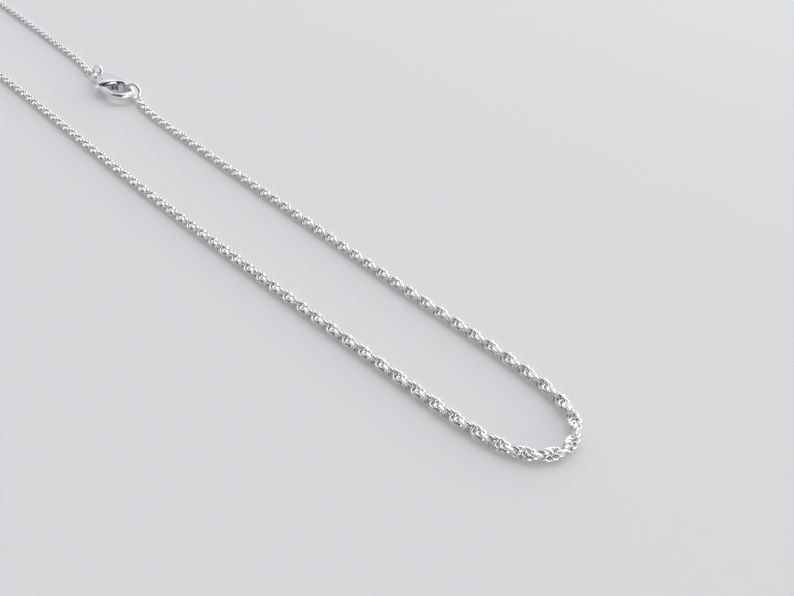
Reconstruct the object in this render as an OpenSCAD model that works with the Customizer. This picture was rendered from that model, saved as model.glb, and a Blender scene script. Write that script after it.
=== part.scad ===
// A fine rope chain necklace, closed by a lobster clasp and laid out flat as one long loop.
// Z = 0 is the surface that it lies on, and the loop's long way is along Y.
// The bend that is seen close by is at -Y. The clasp lies on the +X run.

/* [Rope chain] */
// Diameter over the twisted strands
rope_d = 1.3; // [1:0.05:1.7]

/* [Catch ring] */
// Outer diameter of the ring on the chain's end that the claw hooks
catch_ring_od = 3.3; // [3.1:0.1:3.9]
// Wire of the catch ring
catch_ring_wire = 0.55; // [0.45:0.05:0.65]
// Lean of the catch ring from lying flat
catch_ring_lean = 67; // [60:1:75]
// Turn of the catch ring on the surface
catch_ring_turn = 30; // [20:1:38]

/* [Jump ring] */
// Outer diameter of the ring between the clasp's loop and the chain
jump_ring_od = 3.2; // [3:0.1:3.8]
// Wire of the jump ring
jump_ring_wire = 0.55; // [0.45:0.05:0.65]
// Lean of the jump ring from lying flat
jump_ring_lean = 66; // [60:1:76]

/* [Clasp] */
// Length of the claw, from the hook's tip to its neck
claw_length = 11; // [10:0.1:12]
// Width of the claw
claw_width = 5.2; // [4.9:0.1:5.8]
// Thickness of the claw at its fullest
claw_thick = 2.3; // [2.1:0.05:2.6]
// Outer diameter of the loop behind the claw
loop_od = 3.2; // [3:0.1:3.6]
// Wire of the loop behind the claw
loop_wire = 0.75; // [0.65:0.05:0.85]
// Turn of the clasp on the surface, away from the run of the chain
clasp_turn = -6; // [-9:1:-3]

/* [Lever] */
// Thickness of the lever
lever_thick = 0.8; // [0.7:0.05:0.9]
// Diameter of the round end that turns on the pin
lever_eye_d = 1.7; // [1.5:0.05:1.8]
// Diameter of the pin
pin_d = 0.7; // [0.5:0.05:0.8]
// How far the thumb tab stands out of the claw's side
tab_reach = 0.7; // [0.5:0.05:0.9]
// How far the lever opens, in degrees
lever_open = 28; // [20:1:30]

/* [Fits] */
// Clearance on each side of the lever in its slot
slot_gap = 0.1; // [0.08:0.01:0.14]
// Clearance round the pin
pin_gap = 0.04; // [0.03:0.01:0.06]
// Clearance between the lever's nose and the hook
nose_gap = 0.12; // [0.1:0.01:0.2]
// Clearance between pieces that hold each other
link_gap = 0.15; // [0.1:0.01:0.2]

/* [Hidden] */

$fn = 48;

// Sides of the swept pieces
rope_sides = 8;
claw_sides = 12;
// Longest stretch between two rings of the chain's sweep
rope_step = 7;

// Where the hook's outermost point lies on the surface
claw_tip = [3.5, -17.8];

// The chain's way over the surface between its ends, a few round numbers chosen by hand.
rope_route = [
    [4.4, -23], [3.9, -29], [3.5, -40], [3.1, -54], [2.6, -70], [2.2, -84], [2, -96],
    [1.7, -102.5], [1.2, -106.4], [0, -109.2], [-2, -110.6], [-4.2, -110.7], [-6.2, -109.6],
    [-7.7, -107.4], [-8.5, -103], [-8.8, -93], [-9.1, -80], [-9.3, -66], [-9.4, -50],
    [-9.2, -32], [-8.8, -16], [-8.5, 4], [-8.6, 30], [-9.1, 60], [-9.4, 86],
    [-9.2, 96], [-8.2, 102.4], [-6.4, 107], [-3.6, 109.9], [0, 110.7], [3.6, 109.9],
    [6.4, 107], [8.2, 102.4], [9.2, 96], [9.4, 86],
    [9.2, 65], [8.4, 48], [7.6, 32], [6.7, 17], [5.8, 5]
];

// The claw from its neck round to the hook's tip. Sizes are shares: across, of half its width,
// along, of its length from the tip, and thick, of its thickness.
// [outer across, outer along, inner across, inner along, thick]
claw_table = [
    [-0.20, 1.00, 0.20, 1.00, 0.45],
    [-0.42, 0.96, 0.42, 0.96, 0.72],
    [-0.66, 0.88, 0.64, 0.88, 0.90],
    [-0.84, 0.77, 0.84, 0.78, 0.98],
    [-0.95, 0.66, 0.95, 0.68, 1.00],
    [-0.99, 0.57, 0.93, 0.59, 1.00],
    [-1.00, 0.51, 0.55, 0.53, 0.97],
    [-1.00, 0.45, -0.10, 0.49, 0.92],
    [-0.99, 0.38, -0.46, 0.42, 0.86],
    [-0.96, 0.29, -0.52, 0.32, 0.78],
    [-0.88, 0.19, -0.48, 0.23, 0.70],
    [-0.70, 0.09, -0.38, 0.155, 0.60],
    [-0.42, 0.025, -0.22, 0.115, 0.54],
    [-0.06, 0.00, -0.02, 0.10, 0.52],
    [0.30, 0.02, 0.18, 0.115, 0.52],
    [0.58, 0.075, 0.35, 0.15, 0.52],
    [0.78, 0.16, 0.47, 0.19, 0.50],
    [0.87, 0.29, 0.56, 0.22, 0.46]
];

// The catch ring holds the hook at these two rows. The clasp lies so high that the ring's wire
// passes under the hook.
hold_rows = [11, 12];
hook_thick = claw_table[hold_rows[0]][4] * claw_thick;
claw_z = catch_ring_wire + link_gap + hook_thick / 2;

function mid_radius(od, wire) = (od - wire) / 2;
function lean_height(od, wire, lean) = mid_radius(od, wire) * sin(lean) + wire / 2;
function across(v) = [-v[1], v[0], 0] / norm([v[0], v[1]]);

// A smooth curve through points: the slope at each point follows its two neighbours
function slope(p, i) = let (a = p[max(i - 1, 0)], b = p[min(i + 1, len(p) - 1)])
    (b - a) / (norm(b - p[i]) + norm(p[i] - a));
function curve(p, i, t) = let (l = norm(p[i + 1] - p[i]))
    p[i] * (2 * t * t * t - 3 * t * t + 1)
    + slope(p, i) * l * (t * t * t - 2 * t * t + t)
    + p[i + 1] * (3 * t * t - 2 * t * t * t)
    + slope(p, i + 1) * l * (t * t * t - t * t);
function smooth_path(p, step) = [
    for (i = [0 : len(p) - 2])
        let (n = max(1, round(norm(p[i + 1] - p[i]) / step)))
            for (k = [0 : n - 1]) curve(p, i, k / n),
    p[len(p) - 1]
];

// Faces of a closed sweep of rings with the same number of sides
function sweep_faces(rings, sides) = concat(
    [[for (k = [0 : sides - 1]) k]],
    [for (i = [0 : rings - 2], k = [0 : sides - 1])
        let (a = i * sides + k, b = i * sides + (k + 1) % sides)
            [a, a + sides, b + sides, b]],
    [[for (k = [sides - 1 : -1 : 0]) (rings - 1) * sides + k]]
);

// A place in the claw's own plane, from shares of its half width and of its length
function claw_place(across, along) = [across * claw_width / 2, along * claw_length];
function row_outer(row) = claw_place(row[0], row[1]);
function row_inner(row) = claw_place(row[2], row[3]);
function row_mid(row) = (row_outer(row) + row_inner(row)) / 2;

// The claw's stations as rings of points: each is an ellipse that stands between its two sides
function claw_ring(row) = let (half = (row_inner(row) - row_outer(row)) / 2)
    [for (k = [0 : claw_sides - 1]) let (a = 360 * k / claw_sides, flat = row_mid(row) + half * cos(a))
        [flat[0], flat[1], row[4] * claw_thick / 2 * sin(a)]];
row_step = 0.2;
claw_rows = smooth_path(claw_table, row_step);

// The lever's pin, its nose at the hook's end, and the slot that it turns in
pin_at = claw_place(0.56, 0.69);
pin_length = 0.8 * claw_thick;
eye_r = lever_eye_d / 2;
hook_out = row_outer(claw_table[len(claw_table) - 1]);
hook_in = row_inner(claw_table[len(claw_table) - 1]);
nose_step = nose_gap * [hook_in[1] - hook_out[1], hook_out[0] - hook_in[0]] / norm(hook_out - hook_in);
nose_out = hook_out + nose_step;
nose_in = hook_in + nose_step;
shoulder = claw_place(0.56, 0.49);
slot_low = claw_place(0, 0.36)[1];
slot_thick = lever_thick + 2 * slot_gap;
slot_left = pin_at[0] - eye_r - (pin_at[1] - shoulder[1]) * sin(lever_open) - slot_gap;
loop_at = claw_length + loop_od / 2 - loop_wire;

function bend_point(a, b, c, t) = a * (1 - t) * (1 - t) + b * 2 * t * (1 - t) + c * t * t;

module claw() {
    points = [for (row = claw_rows) each claw_ring(row)];
    polyhedron(points, sweep_faces(len(claw_rows), claw_sides), convexity = 6);
}

module torus(od, wire) {
    rotate_extrude()
        translate([mid_radius(od, wire), 0])
            circle(d = wire, $fn = 24);
}

// Puts a thing drawn in the claw's own plane where the clasp lies
module at_clasp() {
    translate([claw_tip[0], claw_tip[1], claw_z])
        rotate(clasp_turn)
            mirror([1, 0, 0])
                children();
}

// The slot between the clasp's two cheeks, open to the lever's side
module lever_slot() {
    translate([slot_left, slot_low, -slot_thick / 2])
        cube([claw_width - slot_left, pin_at[1] + eye_r + slot_gap - slot_low, slot_thick]);
}

module clasp_body() {
    color("silver")
        at_clasp()
            difference() {
                union() {
                    claw();
                    translate([0, loop_at, 0])
                        torus(loop_od, loop_wire);
                }
                lever_slot();
                translate([pin_at[0], pin_at[1], 0])
                    cylinder(d = pin_d + 2 * pin_gap, h = 2 * claw_thick, center = true);
            }
}

// The gate's outline: its outer edge from the eye to the nose, then its inner edge back
module gate_outline() {
    steps = 8;
    in_turn = 233;
    out_from = pin_at + [eye_r, 0];
    out_by = claw_place(0.98, 0.5);
    in_from = pin_at + eye_r * [cos(in_turn), sin(in_turn)];
    in_by = claw_place(0.62, 0.42);
    polygon(concat(
        [pin_at],
        [for (k = [0 : steps]) bend_point(out_from, out_by, nose_out, k / steps)],
        [for (k = [steps : -1 : 0]) bend_point(in_from, in_by, nose_in, k / steps)]
    ));
}

// The lever without its bore: the gate, the round end on the pin, and the thumb tab
module lever_plate() {
    tab_w = lever_thick;
    tab_root = claw_place(0.53, 0.56);
    tab_end = claw_width / 2 + tab_reach - tab_w / 2;
    linear_extrude(lever_thick, center = true)
        gate_outline();
    translate([pin_at[0], pin_at[1], -lever_thick / 2])
        cylinder(r = eye_r, h = lever_thick);
    translate([tab_end, tab_root[1], -lever_thick / 2])
        cylinder(d = tab_w, h = lever_thick);
    translate([tab_root[0], tab_root[1] - tab_w / 2, -lever_thick / 2])
        cube([tab_end - tab_root[0], tab_w, lever_thick]);
}

module clasp_lever() {
    color("gainsboro")
        at_clasp()
            difference() {
                lever_plate();
                translate([pin_at[0], pin_at[1], 0])
                    cylinder(d = pin_d + 2 * pin_gap, h = 2 * lever_thick, center = true);
            }
}

module lever_pin() {
    color("darkgray")
        at_clasp()
            translate([pin_at[0], pin_at[1], 0])
                cylinder(d = pin_d, h = pin_length, center = true);
}

// A point of the claw's own plane, seen in the part's frame
function on_surface(p) = claw_tip + [
    -p[0] * cos(clasp_turn) - p[1] * sin(clasp_turn),
    -p[0] * sin(clasp_turn) + p[1] * cos(clasp_turn)
];

// The ring's direction up its lean, and its level direction
function ring_up(lean, turn) = [cos(lean) * cos(turn), cos(lean) * sin(turn), sin(lean)];
function ring_along(turn) = [-sin(turn), cos(turn), 0];

// The catch ring's lowest point lies right under the wire of the hook
hook_hold = on_surface((row_mid(claw_table[hold_rows[0]]) + row_mid(claw_table[hold_rows[1]])) / 2);
catch_r = mid_radius(catch_ring_od, catch_ring_wire);
catch_up = ring_up(catch_ring_lean, catch_ring_turn);
catch_along = ring_along(catch_ring_turn);
catch_at = [
    hook_hold[0] + catch_r * catch_up[0],
    hook_hold[1] + catch_r * catch_up[1],
    lean_height(catch_ring_od, catch_ring_wire, catch_ring_lean)
];

// The jump ring passes down through the middle of the clasp's loop
jump_r = mid_radius(jump_ring_od, jump_ring_wire);
jump_up = ring_up(jump_ring_lean, 0);
jump_along = ring_along(0);
jump_high = lean_height(jump_ring_od, jump_ring_wire, jump_ring_lean);
jump_dip = asin((jump_high - claw_z) / (jump_r * sin(jump_ring_lean)));
loop_mid = on_surface([0, loop_at]);
jump_at = [
    loop_mid[0] + jump_r * sin(jump_dip) * jump_up[0],
    loop_mid[1] + jump_r * cos(jump_dip),
    jump_high
];

module ring(od, wire, up, along, at) {
    out = cross(up, along);
    multmatrix([
        [up[0], along[0], out[0], at[0]],
        [up[1], along[1], out[1], at[1]],
        [up[2], along[2], out[2], at[2]],
        [0, 0, 0, 1]
    ])
        torus(od, wire);
}

module catch_ring() {
    color("silver")
        ring(catch_ring_od, catch_ring_wire, catch_up, catch_along, catch_at);
}

module jump_ring() {
    color("silver")
        ring(jump_ring_od, jump_ring_wire, jump_up, jump_along, jump_at);
}

// Each end of the chain lies just clear of its ring, before the ring's lower quarter
catch_hold = catch_at - catch_r * (catch_along + catch_up) * cos(45);
jump_hold = jump_at + jump_r * (jump_along - jump_up) * cos(45);
rope_start = [
    catch_hold[0],
    catch_at[1] - catch_r * cos(catch_ring_turn) - catch_ring_wire / 2 - link_gap
];
rope_end = [jump_hold[0], jump_at[1] + jump_r + jump_ring_wire / 2 + link_gap];
rope_path = smooth_path(concat([rope_start], rope_route, [rope_end]), rope_step);

// A ring of the chain's sweep, with a flat side on the surface
function rope_ring(i) = let (
    last = len(rope_path) - 1,
    side = across(rope_path[min(i + 1, last)] - rope_path[max(i - 1, 0)]),
    r = rope_d / 2 / cos(180 / rope_sides))
    [for (k = [0 : rope_sides - 1]) let (a = 360 * (k + 0.5) / rope_sides)
        [rope_path[i][0], rope_path[i][1], rope_d / 2] + r * (side * cos(a) + [0, 0, sin(a)])];

module rope_chain() {
    points = [for (i = [0 : len(rope_path) - 1]) each rope_ring(i)];
    color("gainsboro")
        polyhedron(points, sweep_faces(len(rope_path), rope_sides), convexity = 10);
}

rope_chain();
catch_ring();
clasp_body();
clasp_lever();
lever_pin();
jump_ring();
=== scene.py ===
"""A fine silver rope chain with a lobster clasp, laid out as one long loop on a pale table."""

import bisect
import math

import bmesh
import bpy
from mathutils import Matrix, Vector


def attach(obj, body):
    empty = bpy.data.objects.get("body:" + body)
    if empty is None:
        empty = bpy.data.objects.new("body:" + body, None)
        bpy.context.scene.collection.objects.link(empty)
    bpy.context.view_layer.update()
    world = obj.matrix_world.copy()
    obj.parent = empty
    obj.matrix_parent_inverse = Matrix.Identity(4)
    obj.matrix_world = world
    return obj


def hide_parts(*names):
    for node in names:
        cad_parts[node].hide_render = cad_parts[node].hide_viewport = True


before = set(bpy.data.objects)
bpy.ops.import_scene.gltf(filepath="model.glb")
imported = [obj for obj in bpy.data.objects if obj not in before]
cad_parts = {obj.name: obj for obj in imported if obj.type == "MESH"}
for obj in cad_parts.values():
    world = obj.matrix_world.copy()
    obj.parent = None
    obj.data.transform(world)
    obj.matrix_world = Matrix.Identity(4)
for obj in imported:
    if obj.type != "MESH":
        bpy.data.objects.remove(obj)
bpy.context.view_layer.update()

# The pieces are drawn in millimetres, in the frame of the CAD part, and made into metres when they
# are finished. The table and the lamp are in metres.
MM = 0.001
QUARTER_TURN = math.radians(90)

# The rope: its radius, how far one full turn of its two strands goes, how many links a strand has
# in that turn, and how far in from the ends of the route the links begin and stop
ROPE_RADIUS = 0.65
TURN_LENGTH = 4.79
STRAND_LINKS = 11
STEP = TURN_LENGTH / (2 * STRAND_LINKS)
STEP_TURN = math.radians(180 + 180 / STRAND_LINKS)
START_TURN = math.radians(50)
ROPE_IN = 0.5

# One link: an open oval of pressed wire, tilted, a little off the rope's axis, with its gap inwards
WIRE_WIDE = 0.34
WIRE_THICK = 0.21
LINK_HALF_WIDE = 0.36
LINK_HALF_LONG = 0.50
LINK_OUT = 0.18
LINK_TILT = math.radians(-78)
LINK_GAP = math.radians(70)
LINK_STEPS = 12
LINK_SIDES = 6
# An edge along the wire borders a pressed face where it is this near the middle of the width, and
# an edge runs along the wire where its two ends are this near the same height
PRESSED_WITHIN = 0.4 * WIRE_WIDE
LEVEL_WITHIN = 0.001

# The larger link at each end of the rope: its outer diameter, its wire, and how far its middle is
# from the middle of the ring's wire
END_LINK_OD = 1.3
END_LINK_WIRE = 0.26
END_LINK_OFF = 0.06

# Where the chain starts at the catch ring, its way round, and its end at the jump ring
ROPE_ROUTE = [
    (5.345, -18.211), (4.4, -23), (3.9, -29), (3.5, -40), (3.1, -54), (2.6, -70), (2.2, -84),
    (2, -96), (1.7, -102.5), (1.2, -106.4), (0, -109.2), (-2, -110.6), (-4.2, -110.7),
    (-6.2, -109.6), (-7.7, -107.4), (-8.5, -103), (-8.8, -93), (-9.1, -80), (-9.3, -66),
    (-9.4, -50), (-9.2, -32), (-8.8, -16), (-8.5, 4), (-8.6, 30), (-9.1, 60), (-9.4, 86),
    (-9.2, 96), (-8.2, 102.4), (-6.4, 107), (-3.6, 109.9), (0, 110.7), (3.6, 109.9),
    (6.4, 107), (8.2, 102.4), (9.2, 96), (9.4, 86), (9.2, 65), (8.4, 48), (7.6, 32),
    (6.7, 17), (5.8, 5), (4.400, -2.944),
]
ROUTE_STEP = 0.1
# How far before and after a place the route's direction there is read
DIRECTION_REACH = 0.2

# The two rings: centre, direction up the lean, level direction, outer diameter, wire
CATCH_RING = (Vector((5.188, -16.595, 1.541)), Vector((0.3384, 0.1954, 0.9205)),
              Vector((-0.5, 0.8660, 0)), 3.3, 0.55)
JUMP_RING = (Vector((4.781, -4.694, 1.485)), Vector((0.4067, 0, 0.9135)),
             Vector((0, 1, 0)), 3.2, 0.55)

# The clasp, drawn flat with its hook's tip at the origin, its long way along +Y
CLAW_HALF = 2.6
CLAW_LONG = 11.0
CLAW_THICK = 2.3
CLASP_PLACE = (Matrix.Translation((3.5, -17.8, 1.39)) @ Matrix.Rotation(math.radians(-6), 4, "Z")
               @ Matrix.Diagonal((-1, 1, 1, 1)))
# Outer edge across and along, inner edge across and along, and thickness. Those across are shares
# of CLAW_HALF, those along of CLAW_LONG, and the thickness of CLAW_THICK.
CLAW_ROWS = [
    (-0.20, 1.00, 0.20, 1.00, 0.45),
    (-0.42, 0.96, 0.42, 0.96, 0.72),
    (-0.66, 0.88, 0.64, 0.88, 0.90),
    (-0.84, 0.77, 0.84, 0.78, 0.98),
    (-0.95, 0.66, 0.95, 0.68, 1.00),
    (-0.99, 0.57, 0.93, 0.59, 1.00),
    (-1.00, 0.51, 0.55, 0.53, 0.97),
    (-1.00, 0.45, -0.10, 0.49, 0.92),
    (-0.99, 0.38, -0.46, 0.42, 0.86),
    (-0.96, 0.29, -0.52, 0.32, 0.78),
    (-0.88, 0.19, -0.48, 0.23, 0.70),
    (-0.70, 0.09, -0.38, 0.155, 0.60),
    (-0.42, 0.025, -0.22, 0.115, 0.54),
    (-0.06, 0.00, -0.02, 0.10, 0.52),
    (0.30, 0.02, 0.18, 0.115, 0.52),
    (0.58, 0.075, 0.35, 0.15, 0.52),
    (0.78, 0.16, 0.47, 0.19, 0.50),
    (0.87, 0.29, 0.56, 0.22, 0.46),
]
CLAW_STEP = 0.25
LOOP_OD = 3.2
LOOP_WIRE = 0.75
LEVER_THICK = 0.8
LEVER_EYE = 0.85
LEVER_OPEN = math.radians(28)
PIN_R = 0.35
PIN_LONG = 0.8 * CLAW_THICK
PIN_GAP = 0.04
PIN_ROUND = PIN_R / 3
PIN_AT = Vector((0.56 * CLAW_HALF, 0.69 * CLAW_LONG, 0))
# The lever's slot in the claw, with room for the lever to open inwards. It runs out past the side.
SLOT_GAP = 0.1
SLOT_THICK = LEVER_THICK + 2 * SLOT_GAP
SLOT_LOW = 0.36 * CLAW_LONG
SLOT_SHOULDER = 0.49 * CLAW_LONG
SLOT_PAST = 1
SLOT_LEFT = (PIN_AT.x - LEVER_EYE - SLOT_GAP
             - (PIN_AT.y - SLOT_SHOULDER) * math.sin(LEVER_OPEN))

# How finely round things are drawn: the steps round a ring and the sides of its wire, and the sides
# of the claw, the pin and the bore
RING_FACES = (56, 16)
LOOP_FACES = (48, 16)
END_LINK_FACES = (24, 10)
ROUND_SIDES = 32
PIN_ROUND_STEPS = 3

# How fine the skin of a casting is, and how many times it is smoothed
CLAW_GRAIN = 0.07
CLAW_ROUNDS = 6
LEVER_GRAIN = 0.05
LEVER_ROUNDS = 3
# In metres: the CAD lever's corners this near each other are one
WELD_WITHIN = 1e-7

# The silver's finish: the detail of its clouding and scratches, how many times finer than the
# clouding the scratches are and how far they bend, where the clouding begins and is full, and how
# much it roughens and tints the silver
CLOUD_DETAIL = 3
SCRATCH_DETAIL = 4
SCRATCH_FINER = 9
SCRATCH_BEND = 1.5
CLOUD_FROM = 0.45
CLOUD_FULL = 0.75
CLOUD_ROUGHER = 0.35
CLOUD_TINT = (0.86, 0.84, 0.80)

# The table and the wide, weak lamp above it
TABLE_HALF = 1.2
TABLE_SHADE = (0.6, 0.607, 0.61)
TABLE_ROUGHNESS = 0.8
TABLE_GLOSS = 0.2
LAMP_AT = Vector((0.6, 0.1, 1.1))
LAMP_WIDE = 1.6
LAMP_POWER = 7.5
LAMP_COLOUR = (1.0, 0.99, 0.97)

DAYLIGHT = (1.0, 1.0, 0.98)
WALL = (0.97, 0.98, 1.04)
DIM_WALL = (0.03, 0.03, 0.031)
# Bright places in the room: turn from +X, height, how far each is full and how far it reaches, all
# four in degrees, then brightness and tint
ROOM_GLOWS = [
    (268, 4, 14, 34, 2.6, DAYLIGHT),
    (300, 6, 8, 27, 0.9, DAYLIGHT),
    (0, 6, 10, 30, 1.8, DAYLIGHT),
    (30, 6, 8, 27, 1.1, DAYLIGHT),
    (285, 30, 8, 27, 0.3, DAYLIGHT),
    (345, 30, 14, 38, 0.7, DAYLIGHT),
    (15, 30, 8, 27, 0.5, DAYLIGHT),
    (330, 6, 8, 27, 0.1, WALL),
    (65, 28, 16, 40, 0.7, WALL),
    (120, 18, 16, 40, 0.5, WALL),
    (185, 4, 12, 30, 0.35, WALL),
    (0, 54, 10, 30, 1.2, WALL),
    (55, 54, 10, 30, 0.6, WALL),
    (115, 54, 12, 34, 0.35, WALL),
    (280, 54, 12, 32, 0.4, WALL),
    (20, 80, 12, 30, 0.7, WALL),
]

# The camera: its place in millimetres, the way it looks, the level way to its right, its roll, and
# its focal length in pixels of the photo
CAMERA_AT = Vector((-43.84, -123.05, 44.67))
CAMERA_FORWARD = Vector((0.6066, 0.5145, -0.6060))
CAMERA_RIGHT = Vector((0.6468, -0.7626, 0))
CAMERA_ROLL = math.radians(6.5)
FOCAL_PIXELS = 640
PHOTO_WIDTH = 794
SENSOR_WIDTH = 36
NEAREST_SEEN = 0.001
FARTHEST_SEEN = 10


def curve_slope(points, i):
    """How the curve runs at point i: the way from the point before it to the one after it."""
    before = points[max(i - 1, 0)]
    after = points[min(i + 1, len(points) - 1)]
    return (after - before) / ((after - points[i]).length + (points[i] - before).length)


def smooth_curve(points, step):
    """A smooth curve through the points, in steps of about the given length."""
    out = []
    for i in range(len(points) - 1):
        a, b = points[i], points[i + 1]
        span = (b - a).length
        slope_a = curve_slope(points, i) * span
        slope_b = curve_slope(points, i + 1) * span
        n = max(1, round(span / step))
        for k in range(n):
            t = k / n
            out.append(a * (2 * t**3 - 3 * t**2 + 1) + slope_a * (t**3 - 2 * t**2 + t)
                       + b * (3 * t**2 - 2 * t**3) + slope_b * (t**3 - t**2))
    out.append(points[-1])
    return out


def axes_at(x, y, z, at):
    """The place that has these three axes and this middle."""
    m = Matrix((x, y, z)).transposed().to_4x4()
    m.translation = at
    return m


class RopeLine:
    """The rope's centre line, by the length along it."""

    def __init__(self):
        corners = [Vector((x, y, ROPE_RADIUS)) for x, y in ROPE_ROUTE]
        self.points = smooth_curve(corners, ROUTE_STEP)
        self.at = [0.0]
        for a, b in zip(self.points, self.points[1:]):
            self.at.append(self.at[-1] + (b - a).length)
        self.length = self.at[-1]

    def point(self, s):
        """The point at length s. Past either end the line goes straight on."""
        i = min(max(bisect.bisect_right(self.at, s) - 1, 0), len(self.points) - 2)
        t = (s - self.at[i]) / (self.at[i + 1] - self.at[i])
        return self.points[i].lerp(self.points[i + 1], t)

    def place(self, s):
        """The rope's own axes at length s: across, up and along."""
        ahead = self.point(s + DIRECTION_REACH)
        along = (ahead - self.point(s - DIRECTION_REACH)).normalized()
        up = Vector((0, 0, 1))
        return axes_at(up.cross(along), up, along, self.point(s))


def edges_of(verts):
    """The edges that meet the vertices, each of them once."""
    return list(dict.fromkeys(e for v in verts for e in v.link_edges))


def finish_piece(name, bm, body, instead_of, material, smooth=True):
    """Turns a mesh drawn in millimetres into a piece of the part."""
    bmesh.ops.recalc_face_normals(bm, faces=bm.faces)
    bmesh.ops.scale(bm, vec=(MM, MM, MM), verts=bm.verts)
    mesh = bpy.data.meshes.new(name)
    bm.to_mesh(mesh)
    bm.free()
    piece = bpy.data.objects.new(name, mesh)
    bpy.context.scene.collection.objects.link(piece)
    for polygon in mesh.polygons:
        polygon.use_smooth = smooth
    mesh.materials.append(material)
    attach(piece, body)
    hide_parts(instead_of)


def link_shape():
    """One open link of the rope, as it lies round the rope's axis."""
    bm = bmesh.new()
    # Bent round a circle of radius 1 first
    start = -math.pi + LINK_GAP / 2
    wire_end = (Matrix.Rotation(start, 4, "Z") @ Matrix.Translation((1, 0, 0))
                @ Matrix.Rotation(QUARTER_TURN, 4, "X")
                @ Matrix.Diagonal((WIRE_THICK, WIRE_WIDE, 1, 1))
                @ Matrix.Rotation(math.pi / LINK_SIDES, 4, "Z"))
    bmesh.ops.create_circle(bm, segments=LINK_SIDES, radius=1 / 2, matrix=wire_end)
    bmesh.ops.spin(bm, geom=bm.verts[:] + bm.edges[:], cent=(0, 0, 0), axis=(0, 0, 1),
                   angle=2 * math.pi - LINK_GAP, steps=LINK_STEPS, use_duplicate=False)
    rims = [e for e in bm.edges if e.is_boundary]
    bmesh.ops.holes_fill(bm, edges=rims, sides=LINK_SIDES)
    # The borders of the pressed faces are crisp, and the wire is round between them
    for e in bm.edges:
        a, b = e.verts
        runs_along = abs(a.co.z - b.co.z) < LEVEL_WITHIN
        e.smooth = not (runs_along and abs(a.co.z) < PRESSED_WITHIN)
    # Then the circle is made an oval, with the wire as thick as before
    for v in bm.verts:
        turn = math.atan2(v.co.y, v.co.x)
        out = math.hypot(v.co.x, v.co.y) - 1
        side = Vector((math.cos(turn) / LINK_HALF_WIDE, math.sin(turn) / LINK_HALF_LONG, 0))
        side.normalize()
        v.co = Vector((LINK_HALF_WIDE * math.cos(turn), LINK_HALF_LONG * math.sin(turn), v.co.z))
        v.co += side * out
    lie = Matrix.Translation((LINK_OUT, 0, 0)) @ Matrix.Rotation(LINK_TILT, 4, "X")
    # Mirrored to suit the hand of the rope's twist
    mirrored = Matrix.Diagonal((1, -1, 1, 1))
    bm.transform(mirrored @ lie)
    bmesh.ops.recalc_face_normals(bm, faces=bm.faces)
    mesh = bpy.data.meshes.new("link")
    bm.to_mesh(mesh)
    bm.free()
    return mesh


def rope_links(line, link, first, last):
    """The links from first up to last, each a step further along and turned past the other side."""
    bm = bmesh.new()
    for k in range(first, last):
        bm.from_mesh(link)
        bm.verts.ensure_lookup_table()
        turned = Matrix.Rotation(START_TURN - k * STEP_TURN, 4, "Z")
        place = line.place(ROPE_IN + k * STEP) @ turned
        for v in bm.verts[-len(link.vertices):]:
            v.co = place @ v.co
    return bm


def add_ring(bm, centre, up, along, od, wire, faces):
    """A closed ring of round wire."""
    around, sides = faces
    out = up.cross(along)
    place = (axes_at(up, along, out, centre) @ Matrix.Translation(((od - wire) / 2, 0, 0))
             @ Matrix.Rotation(QUARTER_TURN, 4, "X"))
    made = bmesh.ops.create_circle(bm, segments=sides, radius=wire / 2, matrix=place)["verts"]
    bmesh.ops.spin(bm, geom=made + edges_of(made), cent=centre, axis=out, angle=2 * math.pi,
                   steps=around, use_merge=True, use_duplicate=False)


def end_link(bm, line, ring, s, side):
    """The larger link at the rope's end, soldered to it, that holds the ring's wire."""
    centre, up, along, od, wire = ring
    r = (od - wire) / 2
    hold = centre + (along * side - up) * r * math.sqrt(1 / 2)
    wire_way = (along + up * side).normalized()
    to_rope = line.point(s) - hold
    to_rope -= wire_way * to_rope.dot(wire_way)
    to_rope.normalize()
    add_ring(bm, hold + to_rope * END_LINK_OFF, to_rope, wire_way.cross(to_rope), END_LINK_OD,
             END_LINK_WIRE, END_LINK_FACES)


def rope():
    """The two halves of the rope, each with its end link."""
    line = RopeLine()
    link = link_shape()
    count = int((line.length - 2 * ROPE_IN) / STEP) + 1
    front = rope_links(line, link, 0, count // 2)
    end_link(front, line, CATCH_RING, 0, -1)
    back = rope_links(line, link, count // 2, count)
    end_link(back, line, JUMP_RING, line.length, 1)
    return front, back


def ring_wire(ring):
    """The catch ring or the jump ring."""
    bm = bmesh.new()
    add_ring(bm, *ring, RING_FACES)
    return bm


def loft(bm, sections, sides):
    """A closed skin through the sections, each of them the place of a circle of radius 1."""
    made = bmesh.ops.create_circle(bm, segments=sides, radius=1, matrix=sections[0])["verts"]
    edges = edges_of(made)
    ends = list(edges)
    for before, after in zip(sections, sections[1:]):
        made = bmesh.ops.extrude_edge_only(bm, edges=edges)["geom"]
        section = [g for g in made if isinstance(g, bmesh.types.BMVert)]
        edges = [g for g in made if isinstance(g, bmesh.types.BMEdge) and g.is_boundary]
        bmesh.ops.transform(bm, matrix=after @ before.inverted(), verts=section)
    bmesh.ops.holes_fill(bm, edges=ends + edges, sides=sides)


def claw_sections():
    """The claw's oval sections, from the loop down its back and round the hook to the nose."""
    rows = []
    for a, b, c, d, thickness in CLAW_ROWS:
        rows.append(Vector((a * CLAW_HALF, b * CLAW_LONG, c * CLAW_HALF, d * CLAW_LONG,
                            thickness * CLAW_THICK / 2)))
    sections = []
    for row in smooth_curve(rows, CLAW_STEP):
        outer = Vector((row[0], row[1], 0))
        inner = Vector((row[2], row[3], 0))
        thick = Vector((0, 0, row[4]))
        across = (outer - inner) / 2
        way = across.cross(thick).normalized()
        sections.append(axes_at(across, thick, way, (outer + inner) / 2))
    return sections


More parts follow.
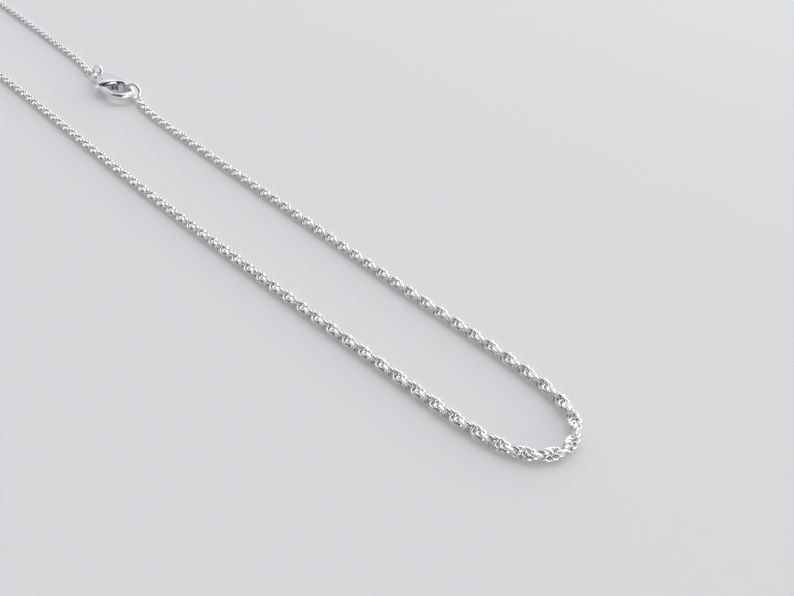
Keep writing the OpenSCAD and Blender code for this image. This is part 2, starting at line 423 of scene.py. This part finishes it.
def scrap_object(bm, name):
    """An object that is only worked on, and thrown away afterwards."""
    mesh = bpy.data.meshes.new(name)
    bm.to_mesh(mesh)
    bm.free()
    made = bpy.data.objects.new(name, mesh)
    bpy.context.scene.collection.objects.link(made)
    return made


def add_skin(solid, name, grain):
    """Makes the object's shells one solid under a new skin."""
    skin = solid.modifiers.new(name, "REMESH")
    skin.mode = "VOXEL"
    skin.voxel_size = grain


def soft_cast(bm, cutter, grain, rounds):
    """The shells made one solid, the cutter taken out, and the edges softened as on a casting."""
    bmesh.ops.recalc_face_normals(bm, faces=bm.faces)
    solid = scrap_object(bm, "casting")
    scraps = [solid]
    add_skin(solid, "joined", grain)
    if cutter:
        bmesh.ops.recalc_face_normals(cutter, faces=cutter.faces)
        scraps.append(scrap_object(cutter, "cutter"))
        cut = solid.modifiers.new("cut", "BOOLEAN")
        cut.operation = "DIFFERENCE"
        cut.solver = "EXACT"
        cut.object = scraps[-1]
        add_skin(solid, "again", grain)
    soft = solid.modifiers.new("soft", "SMOOTH")
    soft.iterations = rounds
    finished = solid.evaluated_get(bpy.context.evaluated_depsgraph_get())
    made = bpy.data.meshes.new_from_object(finished)
    out = bmesh.new()
    out.from_mesh(made)
    bpy.data.meshes.remove(made)
    for scrap in scraps:
        mesh = scrap.data
        bpy.data.objects.remove(scrap)
        bpy.data.meshes.remove(mesh)
    return out


def clasp_casting():
    """The lobster claw with its loop, the lever's slot and the pin's bore."""
    bm = bmesh.new()
    loft(bm, claw_sections(), ROUND_SIDES)
    add_ring(bm, Vector((0, CLAW_LONG + LOOP_OD / 2 - LOOP_WIRE, 0)), Vector((1, 0, 0)),
             Vector((0, 1, 0)), LOOP_OD, LOOP_WIRE, LOOP_FACES)
    cutter = bmesh.new()
    low = Vector((SLOT_LEFT, SLOT_LOW, -SLOT_THICK / 2))
    high = Vector((CLAW_HALF + SLOT_PAST, PIN_AT.y + LEVER_EYE + SLOT_GAP, SLOT_THICK / 2))
    slot_place = Matrix.Translation((low + high) / 2) @ Matrix.Diagonal((*(high - low), 1))
    bmesh.ops.create_cube(cutter, size=1, matrix=slot_place)
    bmesh.ops.create_cone(cutter, cap_ends=True, segments=ROUND_SIDES, radius1=PIN_R + PIN_GAP,
                          radius2=PIN_R + PIN_GAP, depth=2 * CLAW_THICK,
                          matrix=Matrix.Translation(PIN_AT))
    out = soft_cast(bm, cutter, CLAW_GRAIN, CLAW_ROUNDS)
    out.transform(CLASP_PLACE)
    return out


def lever_casting():
    """The spring gate with its eye and its thumb tab: the CAD piece with softened edges."""
    bm = bmesh.new()
    bm.from_mesh(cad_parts["clasp_lever"].data)
    bmesh.ops.remove_doubles(bm, verts=bm.verts, dist=WELD_WITHIN)
    bmesh.ops.scale(bm, vec=(1 / MM, 1 / MM, 1 / MM), verts=bm.verts)
    return soft_cast(bm, None, LEVER_GRAIN, LEVER_ROUNDS)


def rivet():
    """The pin, with its ends filed round."""
    bm = bmesh.new()
    bmesh.ops.create_cone(bm, cap_ends=True, segments=ROUND_SIDES, radius1=PIN_R, radius2=PIN_R,
                          depth=PIN_LONG, matrix=CLASP_PLACE @ Matrix.Translation(PIN_AT))
    rims = [e for e in bm.edges if abs(e.verts[0].co.z - e.verts[1].co.z) < PIN_R / 2]
    bmesh.ops.bevel(bm, geom=rims, offset=PIN_ROUND, segments=PIN_ROUND_STEPS, profile=0.5,
                    affect="EDGES", material=-1)
    return bm


def colour_mix(tree, kind, amount, first, second):
    """A colour mix. The amount and the first colour are sockets, the second is a plain colour."""
    mix = tree.nodes.new("ShaderNodeMix")
    mix.data_type = "RGBA"
    mix.blend_type = kind
    # A colour mix has its amount at 0, its two colours at 6 and 7, and its result at 2
    tree.links.new(amount, mix.inputs[0])
    tree.links.new(first, mix.inputs[6])
    mix.inputs[7].default_value = (*second, 1)
    return mix.outputs[2]


def noise(tree, way, scale, detail):
    """A noise that follows the piece."""
    clouds = tree.nodes.new("ShaderNodeTexNoise")
    clouds.inputs["Detail"].default_value = detail
    tree.links.new(way, clouds.inputs["Vector"])
    tree.links.new(scale, clouds.inputs["Scale"])
    return clouds


def silver_finish():
    """The look of handled silver: faint clouding, small dents and fine scratches."""
    group = bpy.data.node_groups.new("silver_finish", "ShaderNodeTree")
    for socket, kind in (("Shade", "NodeSocketColor"), ("Polish", "NodeSocketFloat"),
                         ("Wear", "NodeSocketFloat"), ("Grain", "NodeSocketFloat")):
        group.interface.new_socket(socket, in_out="INPUT", socket_type=kind)
    for socket, kind in (("Color", "NodeSocketColor"), ("Roughness", "NodeSocketFloat"),
                         ("Height", "NodeSocketFloat")):
        group.interface.new_socket(socket, in_out="OUTPUT", socket_type=kind)
    given = group.nodes.new("NodeGroupInput")
    result = group.nodes.new("NodeGroupOutput")
    way = group.nodes.new("ShaderNodeTexCoord").outputs["Object"]
    clouds = noise(group, way, given.outputs["Grain"], CLOUD_DETAIL)
    finer = group.nodes.new("ShaderNodeMath")
    finer.operation = "MULTIPLY"
    finer.inputs[1].default_value = SCRATCH_FINER
    group.links.new(given.outputs["Grain"], finer.inputs[0])
    scratches = noise(group, way, finer.outputs[0], SCRATCH_DETAIL)
    scratches.inputs["Distortion"].default_value = SCRATCH_BEND
    dulled = group.nodes.new("ShaderNodeMapRange")
    dulled.inputs["From Min"].default_value = CLOUD_FROM
    dulled.inputs["From Max"].default_value = CLOUD_FULL
    group.links.new(clouds.outputs["Fac"], dulled.inputs["Value"])
    group.links.new(given.outputs["Wear"], dulled.inputs["To Max"])
    rough = group.nodes.new("ShaderNodeMath")
    rough.operation = "MULTIPLY_ADD"
    rough.inputs[1].default_value = CLOUD_ROUGHER
    group.links.new(dulled.outputs["Result"], rough.inputs[0])
    group.links.new(given.outputs["Polish"], rough.inputs[2])
    tinted = colour_mix(group, "MULTIPLY", dulled.outputs["Result"], given.outputs["Shade"],
                        CLOUD_TINT)
    group.links.new(tinted, result.inputs["Color"])
    group.links.new(rough.outputs[0], result.inputs["Roughness"])
    group.links.new(scratches.outputs["Fac"], result.inputs["Height"])
    return group


def silver(name, finish, shade, polish, wear, grain, dents):
    """Silver with the shared finish. Grain is in patches a metre, dents the depth in metres."""
    mat = bpy.data.materials.new(name)
    mat.use_nodes = True
    tree = mat.node_tree
    shader = tree.nodes["Principled BSDF"]
    shader.inputs["Metallic"].default_value = 1
    look = tree.nodes.new("ShaderNodeGroup")
    look.node_tree = finish
    look.inputs["Shade"].default_value = (*shade, 1)
    look.inputs["Polish"].default_value = polish
    look.inputs["Wear"].default_value = wear
    look.inputs["Grain"].default_value = grain
    bump = tree.nodes.new("ShaderNodeBump")
    bump.inputs["Distance"].default_value = dents
    tree.links.new(look.outputs["Color"], shader.inputs["Base Color"])
    tree.links.new(look.outputs["Roughness"], shader.inputs["Roughness"])
    tree.links.new(look.outputs["Height"], bump.inputs["Height"])
    tree.links.new(bump.outputs["Normal"], shader.inputs["Normal"])
    return mat


def table_top():
    """The plain pale surface that the chain lies on."""
    bm = bmesh.new()
    bmesh.ops.create_grid(bm, x_segments=1, y_segments=1, size=TABLE_HALF)
    mesh = bpy.data.meshes.new("table_top")
    bm.to_mesh(mesh)
    bm.free()
    top = bpy.data.objects.new("table_top", mesh)
    bpy.context.scene.collection.objects.link(top)
    mat = bpy.data.materials.new("pale_table")
    mat.use_nodes = True
    shader = mat.node_tree.nodes["Principled BSDF"]
    shader.inputs["Base Color"].default_value = (*TABLE_SHADE, 1)
    shader.inputs["Roughness"].default_value = TABLE_ROUGHNESS
    shader.inputs["Specular IOR Level"].default_value = TABLE_GLOSS
    mesh.materials.append(mat)


def ceiling_lamp():
    """Fills the shade from above. It casts no shadow, and no gloss shows it."""
    data = bpy.data.lights.new("ceiling_lamp", "AREA")
    data.shape = "DISK"
    data.size = LAMP_WIDE
    data.energy = LAMP_POWER
    data.color = LAMP_COLOUR
    data.use_shadow = False
    lamp = bpy.data.objects.new("ceiling_lamp", data)
    lamp.location = LAMP_AT
    lamp.rotation_euler = (-LAMP_AT).to_track_quat("-Z", "Y").to_euler()
    lamp.visible_glossy = False
    bpy.context.scene.collection.objects.link(lamp)


def facing(tree, way, direction, low, high):
    """How far the way looked in turns to the direction: 0 below low, 1 above high."""
    dot = tree.nodes.new("ShaderNodeVectorMath")
    dot.operation = "DOT_PRODUCT"
    dot.inputs[1].default_value = direction
    tree.links.new(way, dot.inputs[0])
    ramp = tree.nodes.new("ShaderNodeMapRange")
    ramp.interpolation_type = "SMOOTHSTEP"
    ramp.inputs["From Min"].default_value = low
    ramp.inputs["From Max"].default_value = high
    tree.links.new(dot.outputs["Value"], ramp.inputs["Value"])
    return ramp.outputs["Result"]


def room_light():
    """A dim room with soft bright places round the table: the windows and the lit walls."""
    world = bpy.data.worlds.new("room")
    world.use_nodes = True
    tree = world.node_tree
    way = tree.nodes.new("ShaderNodeTexCoord").outputs["Generated"]
    room = tree.nodes.new("ShaderNodeRGB").outputs["Color"]
    room.default_value = (*DIM_WALL, 1)
    for turn, height, full, reach, bright, tint in ROOM_GLOWS:
        level = math.cos(math.radians(height))
        direction = (level * math.cos(math.radians(turn)), level * math.sin(math.radians(turn)),
                     math.sin(math.radians(height)))
        near = facing(tree, way, direction, math.cos(math.radians(reach)),
                      math.cos(math.radians(full)))
        room = colour_mix(tree, "ADD", near, room, tuple(bright * c for c in tint))
    tree.links.new(room, tree.nodes["Background"].inputs["Color"])
    bpy.context.scene.world = world


def camera():
    """The camera at the photo's viewing angle."""
    data = bpy.data.cameras.new("camera")
    data.sensor_fit = "HORIZONTAL"
    data.sensor_width = SENSOR_WIDTH
    data.lens = FOCAL_PIXELS / PHOTO_WIDTH * SENSOR_WIDTH
    data.clip_start = NEAREST_SEEN
    data.clip_end = FARTHEST_SEEN
    forward = CAMERA_FORWARD.normalized()
    right = CAMERA_RIGHT.normalized()
    up = right.cross(forward)
    x = right * math.cos(CAMERA_ROLL) + up * math.sin(CAMERA_ROLL)
    y = up * math.cos(CAMERA_ROLL) - right * math.sin(CAMERA_ROLL)
    cam = bpy.data.objects.new("camera", data)
    cam.matrix_world = axes_at(x, y, -forward, CAMERA_AT * MM)
    bpy.context.scene.collection.objects.link(cam)
    bpy.context.scene.camera = cam


handled = silver_finish()
silver_wire = silver("silver_wire", handled, shade=(0.95, 0.95, 0.945), polish=0.13, wear=0.30,
                     grain=700, dents=0.000002)
silver_ring = silver("silver_ring", handled, shade=(0.93, 0.93, 0.93), polish=0.15, wear=0.35,
                     grain=600, dents=0.000004)
silver_cast = silver("silver_cast", handled, shade=(0.88, 0.88, 0.90), polish=0.19, wear=0.45,
                     grain=320, dents=0.000008)
silver_gate = silver("silver_gate", handled, shade=(0.86, 0.86, 0.87), polish=0.22, wear=0.40,
                     grain=400, dents=0.000006)
silver_rivet = silver("silver_rivet", handled, shade=(0.80, 0.80, 0.81), polish=0.30, wear=0.50,
                      grain=900, dents=0.000006)

front, back = rope()
finish_piece("rope_links_front", front, "necklace", "rope_chain", silver_wire)
finish_piece("rope_links_back", back, "necklace", "rope_chain", silver_wire)
finish_piece("catch_ring_wire", ring_wire(CATCH_RING), "necklace", "catch_ring",
             silver_ring)
finish_piece("jump_ring_wire", ring_wire(JUMP_RING), "necklace", "jump_ring",
             silver_ring)
finish_piece("clasp_casting", clasp_casting(), "necklace", "clasp_body",
             silver_cast)
finish_piece("lever_casting", lever_casting(), "lever", "clasp_lever",
             silver_gate)
finish_piece("rivet", rivet(), "necklace", "lever_pin", silver_rivet,
             smooth=False)

table_top()
room_light()
ceiling_lamp()
camera()
bpy.context.scene.view_settings.view_transform = "Standard"
